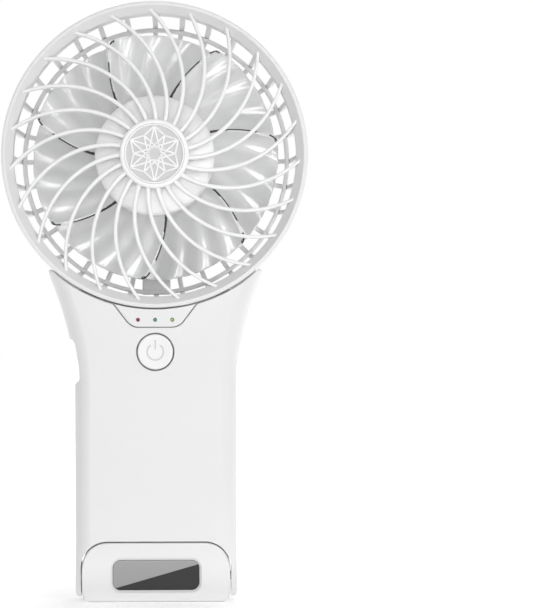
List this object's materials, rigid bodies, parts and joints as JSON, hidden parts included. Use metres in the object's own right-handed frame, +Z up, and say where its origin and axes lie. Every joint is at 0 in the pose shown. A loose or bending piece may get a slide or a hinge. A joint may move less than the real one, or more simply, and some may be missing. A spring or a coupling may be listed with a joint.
{
  "type": "handheld electric fan",
  "caption": "Slim handheld electric fan with a round spiral-ribbed head, a power button and a hinged front cover that swings under the foot to make a desk stand.",
  "frame": {"origin": "centre of the foot's flat base, under the middle of the handle", "axes": "+Z up along the handle, -Y is the front that blows air, +X is the viewer's right seen from the front"},
  "size_m": [0.1, 0.0433, 0.1962],
  "materials": {
    "white_abs": "satin white moulding",
    "fan_abs": "smooth pale grey moulding",
    "button_abs": "fine satin white",
    "cap_abs": "satin pale grey",
    "badge_gloss": "polished dark grey",
    "mirror_glass": "polished",
    "steel": "plain",
    "copper": "enamelled wire",
    "magnet_grey": "sintered",
    "bronze": "sintered bush",
    "board_green": "solder mask",
    "switch_black": "moulded",
    "cell_film": "shrink film",
    "led_red": "clear tinted",
    "led_blue": "clear tinted",
    "led_green": "clear tinted"
  },
  "bodies": {
    "handle": {"front_grille": "white_abs", "hub_cap": "cap_abs", "rear_cage": "white_abs", "motor_stator": "copper", "bearing_front": "bronze", "bearing_rear": "bronze", "motor_board": "board_green", "handle_front_shell": "white_abs", "handle_rear_shell": "white_abs", "foot_block": "white_abs", "foot_window": "badge_gloss", "hinge_pin_left": "steel", "hinge_pin_right": "steel", "tact_switch": "switch_black", "led_red": "led_red", "led_blue": "led_blue", "led_green": "led_green", "main_board": "board_green", "usb_socket": "steel", "battery_cell": "cell_film", "mirror": "mirror_glass", "handle_screw_1": "steel", "handle_screw_2": "steel", "handle_screw_3": "steel", "handle_screw_4": "steel"},
    "fan": {"impeller": "fan_abs", "motor_bell": "steel", "magnet_ring": "magnet_grey", "motor_shaft": "steel"},
    "cover": {"flip_cover": "white_abs"},
    "button": {"power_button": "button_abs"}
  },
  "joints": [
    {"name": "fan_spin", "type": "hinge", "parent": "handle", "child": "fan", "pos_m": [0, 0, 0.1462], "axis": [0, 1, 0], "continuous": true},
    {"name": "cover_fold", "type": "hinge", "parent": "handle", "child": "cover", "pos_m": [0, -0.003, 0.008], "axis": [1, 0, 0], "range_deg": [0, 285]},
    {"name": "power_press", "type": "slide", "parent": "handle", "child": "button", "axis": [0, 1, 0], "range_m": [0, 0.0006], "stiffness_N_per_m": 2500}
  ]
}
